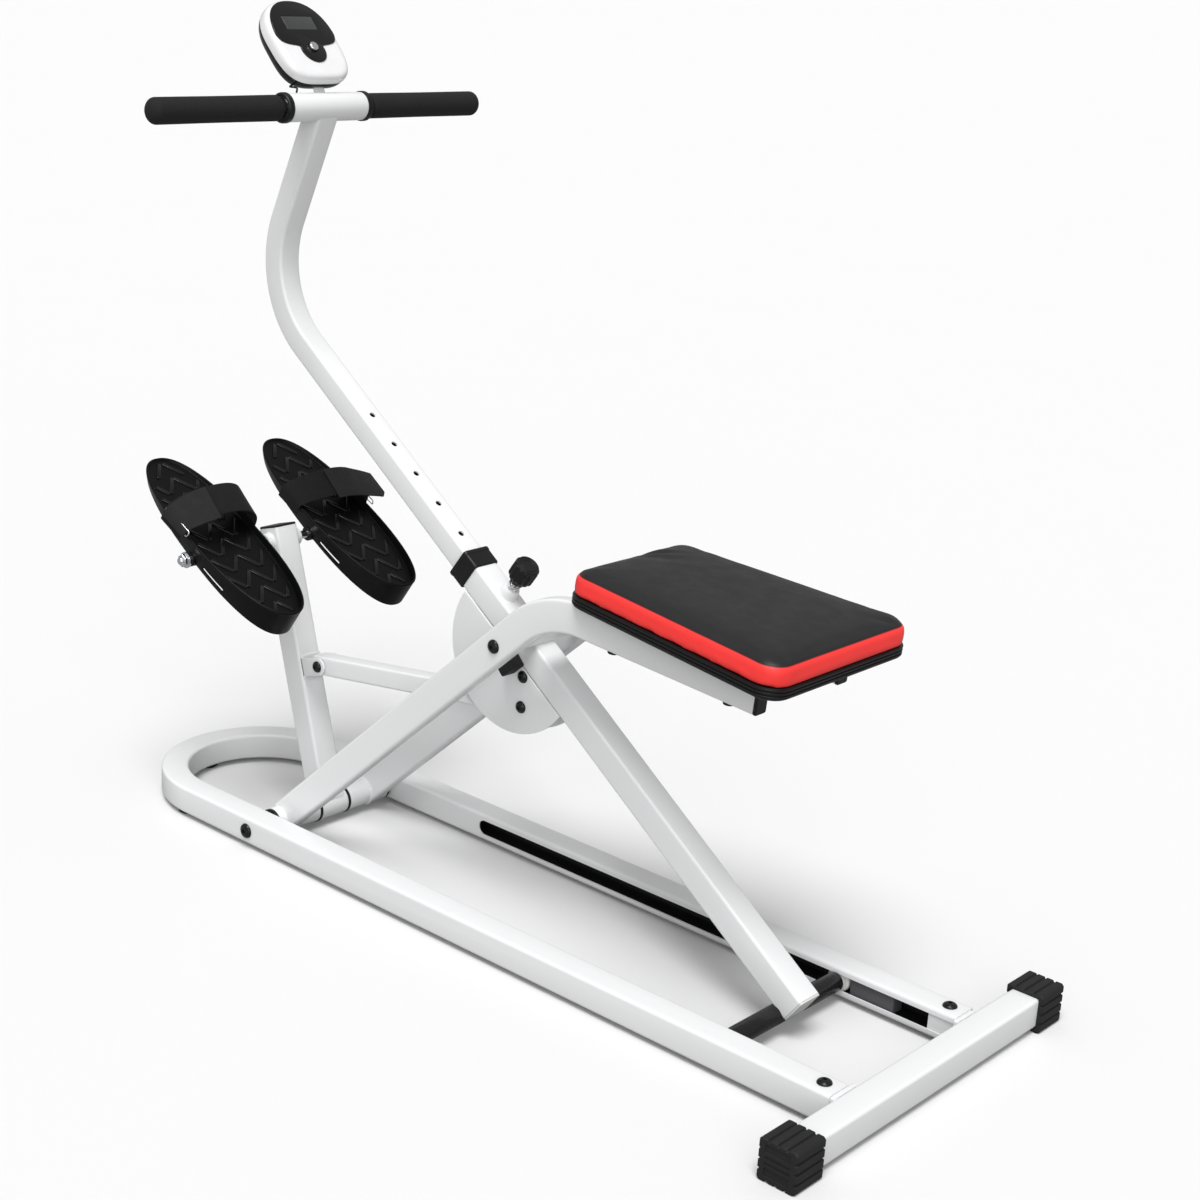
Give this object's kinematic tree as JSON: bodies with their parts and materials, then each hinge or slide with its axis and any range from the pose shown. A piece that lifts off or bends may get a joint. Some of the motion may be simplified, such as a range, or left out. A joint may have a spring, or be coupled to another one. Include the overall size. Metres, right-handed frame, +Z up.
{
  "type": "horse riding exercise machine",
  "caption": "Seated squat-and-row machine with a U-shaped base, scissoring seat frame and handlebar mast, tilting foot pedals and a height-adjustable handlebar.",
  "frame": {"origin": "on the floor, midway along the overall length and on the centre plane", "axes": "+X to the rear (the seat end), +Y to the rider's right, +Z up"},
  "size_m": [1.367, 0.58, 1.1612],
  "materials": {
    "white_paint": "white powder coat, satin",
    "black_rubber": "matt moulded rubber",
    "black_steel": "black oxide, satin",
    "grey_rubber": "matt grey rubber",
    "black_plastic": "fine grained black plastic",
    "vinyl": "grained black vinyl with a red side band",
    "nylon": "white nylon",
    "chrome": "bright plating",
    "gloss_white": "glossy white plastic",
    "gloss_black": "glossy black plastic",
    "screen": "blank dark display window",
    "foam": "closed-cell foam grip",
    "webbing": "woven nylon webbing"
  },
  "bodies": {
    "base": {"base_frame": "white_paint", "cross_tube": "white_paint", "end_cap_left": "black_rubber", "end_cap_right": "black_rubber", "rear_bracket": "white_paint", "rail_screw_left": "black_steel", "rail_screw_right": "black_steel", "foot_pad_front": "black_rubber", "foot_pad_left": "black_rubber", "foot_pad_right": "black_rubber", "rail_stop_left": "grey_rubber", "rail_stop_right": "grey_rubber", "front_axle": "black_steel"},
    "seat_frame": {"seat_arm_left": "white_paint", "seat_arm_right": "white_paint", "arm_plug_left": "black_plastic", "arm_plug_right": "black_plastic", "arm_brace": "white_paint", "seat_pivot_bolt": "black_steel", "seat_base": "black_plastic", "seat_cushion": "vinyl"},
    "mast": {"mast_tube": "white_paint", "pivot_bush_left": "black_plastic", "pivot_bush_right": "black_plastic", "gusset_left": "white_paint", "gusset_right": "white_paint", "upper_bolt": "black_steel", "link_bolt": "black_steel", "rubber_block_left": "black_rubber", "rubber_block_right": "black_rubber", "mast_collar": "black_plastic", "mast_plug": "nylon", "pin_housing": "chrome", "rear_axle": "black_steel"},
    "roller_left": {"roller_left": "nylon"},
    "roller_right": {"roller_right": "nylon"},
    "pin": {"lock_pin": "chrome"},
    "knob": {"pin_knob": "black_plastic"},
    "bar_post": {"bar_post": "white_paint", "bar_bush_left": "black_plastic", "bar_bush_right": "black_plastic", "console_back": "black_plastic", "console_front": "gloss_white", "console_fascia": "gloss_black", "console_screen": "screen", "console_bracket": "white_paint", "console_lead": "black_rubber"},
    "handlebar": {"handlebar": "chrome", "grip_left": "foam", "grip_right": "foam"},
    "mode_button": {"mode_button": "chrome"},
    "pedal_post": {"pedal_post": "white_paint", "post_cap": "black_plastic", "pedal_axle": "chrome", "bracket_bolt": "black_steel"},
    "link": {"push_link": "white_paint"},
    "pedal_left": {"pedal_left": "black_plastic", "strap_left": "webbing"},
    "pedal_right": {"pedal_right": "black_plastic", "strap_right": "webbing"}
  },
  "joints": [
    {"name": "seat_rise", "type": "hinge", "parent": "base", "child": "seat_frame", "pos_m": [-0.3875, 0, 0.027], "axis": [0, -1, 0], "range_deg": [0, 18]},
    {"name": "mast_tilt", "type": "hinge", "parent": "seat_frame", "child": "mast", "pos_m": [0.021, 0, 0.4043], "axis": [0, 1, 0], "range_deg": [0, 34.8]},
    {"name": "pedal_post_swing", "type": "hinge", "parent": "base", "child": "pedal_post", "pos_m": [-0.3875, 0, 0.027], "axis": [0, -1, 0], "range_deg": [0, 31.6]},
    {"name": "link_swing", "type": "hinge", "parent": "pedal_post", "child": "link", "pos_m": [-0.3955, 0, 0.243], "axis": [0, 1, 0], "range_deg": [0, 8.8]},
    {"name": "roller_left_spin", "type": "hinge", "parent": "mast", "child": "roller_left", "pos_m": [0.45389, -0.133, 0.02734], "axis": [0, 1, 0], "continuous": true},
    {"name": "roller_right_spin", "type": "hinge", "parent": "mast", "child": "roller_right", "pos_m": [0.45389, 0.133, 0.02734], "axis": [0, 1, 0], "continuous": true},
    {"name": "bar_height", "type": "slide", "parent": "mast", "child": "bar_post", "axis": [0.8154, 0, -0.5789], "range_m": [0, 0.33]},
    {"name": "bar_turn", "type": "hinge", "parent": "bar_post", "child": "handlebar", "pos_m": [-0.43, 0, 1.032], "axis": [0, 1, 0], "continuous": true},
    {"name": "pin_pull", "type": "slide", "parent": "mast", "child": "pin", "axis": [0.5789, 0, 0.8154], "range_m": [0, 0.01], "stiffness_N_per_m": 600},
    {"name": "pin_turn", "type": "hinge", "parent": "pin", "child": "knob", "pos_m": [-0.02121, 0, 0.47302], "axis": [0.5789, 0, 0.8154], "continuous": true},
    {"name": "button_press", "type": "slide", "parent": "bar_post", "child": "mode_button", "axis": [-0.7314, 0, -0.682], "range_m": [0, 0.0015], "stiffness_N_per_m": 400},
    {"name": "pedal_left_tilt", "type": "hinge", "parent": "pedal_post", "child": "pedal_left", "pos_m": [-0.50279, -0.108, 0.40647], "axis": [0, 1, 0], "range_deg": [-35, 35]},
    {"name": "pedal_right_tilt", "type": "hinge", "parent": "pedal_post", "child": "pedal_right", "pos_m": [-0.50279, 0.108, 0.40647], "axis": [0, 1, 0], "range_deg": [-35, 35]}
  ],
  "couplings": [
    {"joint": "mast_tilt", "follows": "seat_rise", "ratio": 1.9257},
    {"joint": "pedal_post_swing", "follows": "seat_rise", "ratio": 1.7482},
    {"joint": "link_swing", "follows": "seat_rise", "ratio": 0.4804}
  ]
}
